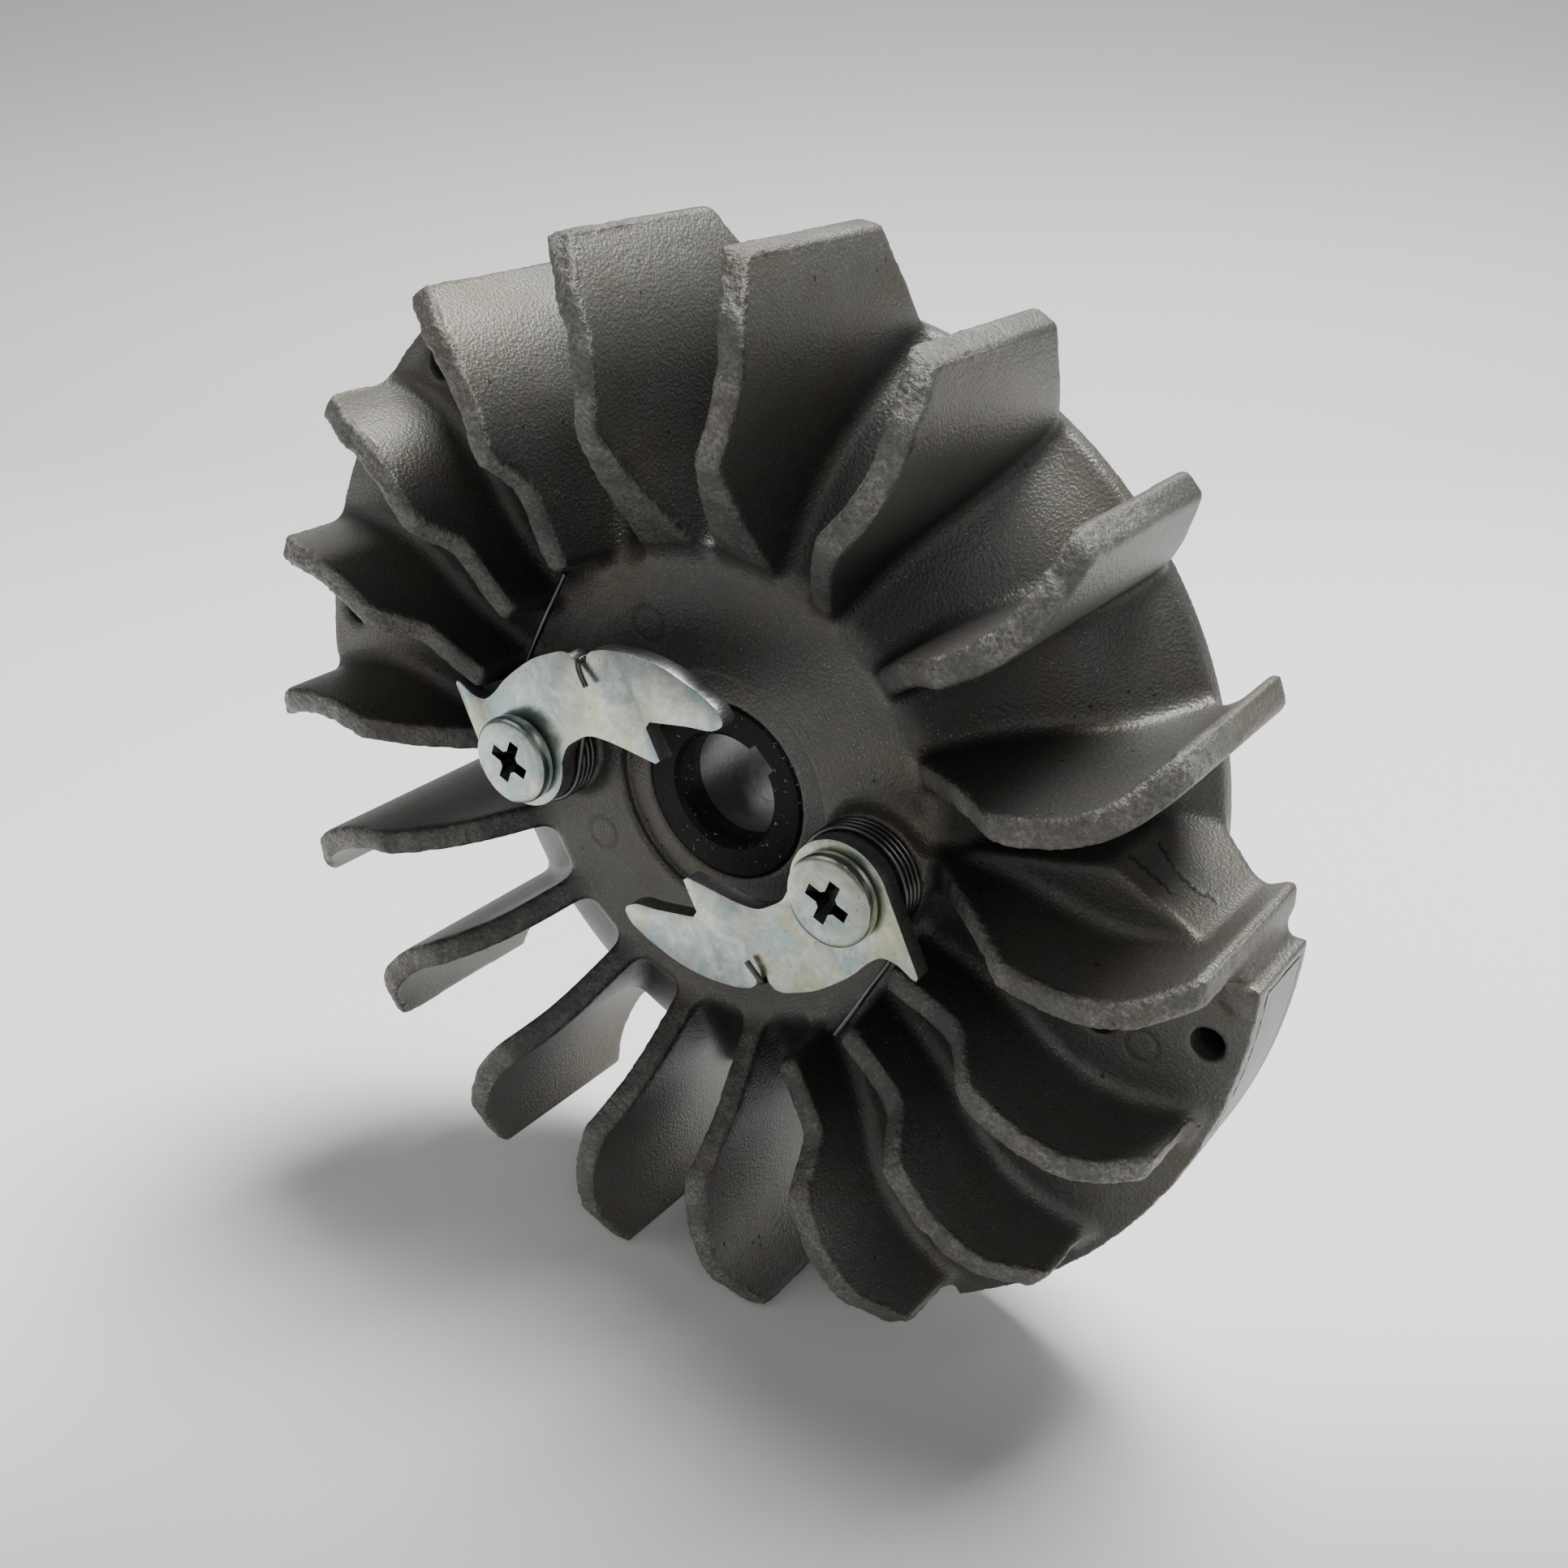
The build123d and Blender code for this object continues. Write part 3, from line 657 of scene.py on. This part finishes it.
def cut_cross(obj, place, turn):
    """Tapered cross recess of a screw head."""
    bm = bmesh.new()
    corners = ((-1, -1), (1, -1), (1, 1), (-1, 1))
    for angle, top_half, low_half, width in CROSS_BLOCKS:
        ring = [[bm.verts.new((sx * top_half, sy * width, HEAD_TOP + 0.3)) for sx, sy in corners],
                [bm.verts.new((sx * low_half, sy * width * 0.55, HEAD_TOP - CROSS_DEPTH))
                 for sx, sy in corners]]
        spin = Matrix.Rotation(math.radians(turn + angle), 4, "Z")
        for v in ring[0] + ring[1]:
            v.co = spin @ v.co
        bm.faces.new(ring[0][::-1])
        bm.faces.new(ring[1])
        for i in range(4):
            j = (i + 1) % 4
            bm.faces.new([ring[0][i], ring[0][j], ring[1][j], ring[1][i]])
    cutter = bpy.data.objects.new("cross_cutter", to_mesh(bm, "cross_cutter", place))
    bpy.context.scene.collection.objects.link(cutter)
    mod = obj.modifiers.new("cross", "BOOLEAN")
    mod.operation = "DIFFERENCE"
    mod.solver = "EXACT"
    mod.use_self = True
    mod.object = cutter
    bpy.context.view_layer.update()
    done = bpy.data.meshes.new_from_object(obj.evaluated_get(bpy.context.evaluated_depsgraph_get()))
    obj.modifiers.clear()
    obj.data = done
    bpy.data.objects.remove(cutter)
    done.materials.clear()
    done.materials.append(zinc_head)
    done.materials.append(recess_dark)
    to_pawl = place.inverted()
    for f in done.polygons:
        c = to_pawl @ f.center
        inside = math.hypot(c.x, c.y) < CROSS_REACH and -1.5 < c.z < HEAD_TOP - 0.04
        f.material_index = 1 if inside else 0


COIL_START = 158.0          # angle where the coil begins, and how far it winds, in degrees
COIL_SWEEP = 3 * 360.0 + 195.2
COIL_STEPS = 128


def spring_path():
    """Route of the wire in the pawl's own frame: anchor leg, coil, hook over the pawl."""
    coil = []
    for i in range(COIL_STEPS + 1):
        share = i / COIL_STEPS
        x, y = wheel_polar(COIL_R, COIL_START + COIL_SWEEP * share)
        coil.append((x, y, COIL_BOTTOM + (COIL_TOP - COIL_BOTTOM) * share))
    anchor = [(1.3, 20.3, -5.4), (0.2, 17.9, -5.4), (-1.8, 13.4, -5.45), (-4.0, 8.2, -5.55),
              coil[0]]
    hook = [coil[-1], (6.9, 7.0, -2.95), (7.5, 12.3, -2.95), (7.8, 13.9, -2.5), (7.85, 14.1, -1.4),
            (7.85, 13.9, -0.25), (8.25, 13.2, 0.08), (9.5, 11.8, 0.4)]
    return through(anchor, 10)[:-1] + [np.array(c) for c in coil] + through(hook, 12)[1:]


def tube(name, path, radius, place, sides=14):
    """Round wire swept along a path without twist, with cut ends."""
    bm = bmesh.new()
    pts = [Vector(p.tolist()) for p in path]
    side = Vector((0, 0, 1))
    rings = []
    for i, p in enumerate(pts):
        along = (pts[min(i + 1, len(pts) - 1)] - pts[max(i - 1, 0)]).normalized()
        side = (side - along * side.dot(along)).normalized()
        other = along.cross(side)
        rings.append([bm.verts.new(p + (side * math.cos(a) + other * math.sin(a)) * radius)
                      for a in [2 * math.pi * k / sides for k in range(sides)]])
    for a, b in zip(rings, rings[1:]):
        for k in range(sides):
            j = (k + 1) % sides
            bm.faces.new([a[k], a[j], b[j], b[k]])
    bm.faces.new(rings[0][::-1])
    bm.faces.new(rings[-1])
    return to_mesh(bm, name, place)


for side in PIVOT_ANGLES:
    place = pawl_place(side)
    plate = new_object("pawl_plate_" + side, pawl_mesh(side), [zinc, zinc_side], side + "_pawl",
                       "pawl_" + side)
    shade_smooth(plate, 40)
    screw = new_object("pivot_screw_" + side, lathe("pivot_screw_" + side, SCREW_PROFILE, place),
                       zinc_head, "wheel", "pawl_screw_" + side)
    cut_cross(screw, place, CROSS_TURN)
    shade_smooth(screw, 32)
    bush = new_object("pivot_bush_" + side, lathe("pivot_bush_" + side, BUSH_PROFILE, place), zinc,
                      "wheel", "pawl_bush_" + side)
    shade_smooth(bush, 32)
    spring = new_object("return_spring_" + side,
                        tube("return_spring_" + side, spring_path(), WIRE_R, place), wire, None)
    shade_smooth(spring, 50)
    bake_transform(spring)
    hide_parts("pawl_spring_" + side)


# ---- carried-over CAD nodes ---------------------------------------------
for node, material in (("magnet", inner), ("counterweight", inner), ("pole_shoe_upper", shoe),
                       ("pole_shoe_lower", shoe)):
    slots = nodes[node].data.materials
    slots.clear()
    slots.append(material)

insert_mesh = nodes["hub_insert"].data.copy()
insert_mesh.materials.clear()
new_object("hub_sleeve", insert_mesh, [oxide, machined], "wheel", "hub_insert")
for f in insert_mesh.polygons:
    radius, f_front = math.hypot(f.center.x, f.center.z) / MM, -f.center.y / MM - FRONT_SHIFT
    bore_wall = radius < BORE_REACH and abs(f.normal.y) < 0.5
    f.material_index = 1 if bore_wall and f_front < LAND_END else 0

# ---- floor, light and camera --------------------------------------------
CAMERA_AT = Vector((0.10527, -0.136035, 0.079769))
CAMERA_RIGHT = Vector((0.815605, 0.578471, -0.012629))
CAMERA_UP = Vector((-0.23284, 0.348115, 0.908076))
CAMERA_BACK = Vector((0.529691, -0.737691, 0.418616))
LENS_MM = 40.56
PITCH = 20.0                # how far the camera looks down on the paper, in degrees
FLAT_END = 0.55             # metres behind the wheel where the paper starts to bend up
BEND_R = 0.35

view_turn = Matrix((CAMERA_RIGHT, CAMERA_UP, CAMERA_BACK)).transposed()
camera = bpy.data.objects.new("camera", bpy.data.cameras.new("camera"))
camera.data.lens = LENS_MM
camera.data.sensor_width = 36.0
camera.data.clip_start = 0.01
camera.data.clip_end = 20.0
camera.matrix_world = Matrix.Translation(CAMERA_AT) @ view_turn.to_4x4()
bpy.context.scene.collection.objects.link(camera)
bpy.context.scene.camera = camera

tilt = math.radians(PITCH)
world_up = (CAMERA_UP * math.cos(tilt) + CAMERA_BACK * math.sin(tilt)).normalized()
away = (-CAMERA_BACK * math.cos(tilt) + CAMERA_UP * math.sin(tilt)).normalized()
across = away.cross(world_up).normalized()
cast_points = mesh_arrays(cast_obj)[0] * MM
lowest = float((cast_points @ np.array(world_up)).min())
ground = world_up * lowest


def stage_point(right, back, up):
    """Metres from the floor point under the wheel: to the right, away from the camera, up."""
    return ground + across * right + away * back + world_up * up


def sweep_floor():
    """Paper that lies flat and curves up into a wall; profile points are (away, up)."""
    profile = [(-1.2, 0.0), (FLAT_END, 0.0)]
    for i in range(1, 13):
        a = math.radians(90 * i / 12)
        profile.append((FLAT_END + BEND_R * math.sin(a), BEND_R * (1 - math.cos(a))))
    profile.append((FLAT_END + BEND_R, 2.2))
    bm = bmesh.new()
    rows = [[bm.verts.new(stage_point(w, b, u)) for w in (-2.0, 2.0)] for b, u in profile]
    for a, b in zip(rows, rows[1:]):
        bm.faces.new([a[0], a[1], b[1], b[0]])
    return to_mesh(bm, "floor")


def paper_material():
    """Pale paper with painted light: brightest behind the wheel, with painted shade greying the
    wall's top and the floor near the camera.
    """
    g = Graph("floor_paper")
    split = g.tree.nodes.new("ShaderNodeSeparateXYZ")
    g.link(g.place, split.inputs[0])

    def measure(axis, offset):
        parts = [g.math("MULTIPLY", split.outputs[i], axis[i]) for i in range(3)]
        return g.math("ADD", g.math("ADD", parts[0], parts[1]), g.math("ADD", parts[2], offset))

    height = measure(world_up, -lowest)
    depth = measure(away, 0.0)
    # painted shade: the wall greys towards its top
    wall = g.ramp(height, [(0.0, 0.0), (0.22, 1.0)])
    # painted shade: the floor greys towards the camera
    painted_near_shade = g.ramp(g.math("ADD", g.math("MULTIPLY", depth, -6.0), 0.30), [(0.30, 0.0), (0.75, 1.0)])
    color = g.mix(wall, (0.98, 0.98, 0.97), (0.42, 0.42, 0.416))
    color = g.mix(painted_near_shade, color, (0.40, 0.40, 0.394))
    return g.finish(color, 0.0, 0.9)


paper = paper_material()
floor = new_object("floor", sweep_floor(), paper, None)
shade_smooth(floor)


def softbox(name, right, back, up, size, watts):
    """Area light aimed at the wheel."""
    data = bpy.data.lights.new(name, "AREA")
    data.shape = "RECTANGLE"
    data.size, data.size_y = size
    data.energy = watts
    obj = bpy.data.objects.new(name, data)
    bpy.context.scene.collection.objects.link(obj)
    at = stage_point(right, back, up)
    aim = (stage_point(0, 0, 0.05) - at).to_track_quat("-Z", "Y")
    obj.matrix_world = Matrix.Translation(at) @ aim.to_matrix().to_4x4()


softbox("key_above_right", 0.25, 0.12, 0.95, (0.5, 0.45), 19.0)
softbox("fill_left", -0.9, -0.35, 0.55, (0.5, 0.7), 0.9)
softbox("front_card", 0.05, -1.0, 0.55, (0.7, 0.4), 2.0)

world = bpy.data.worlds.new("studio")
world.use_nodes = True
world.node_tree.nodes["Background"].inputs["Color"].default_value = (0.82, 0.83, 0.84, 1)
world.node_tree.nodes["Background"].inputs["Strength"].default_value = 0.20
bpy.context.scene.world = world
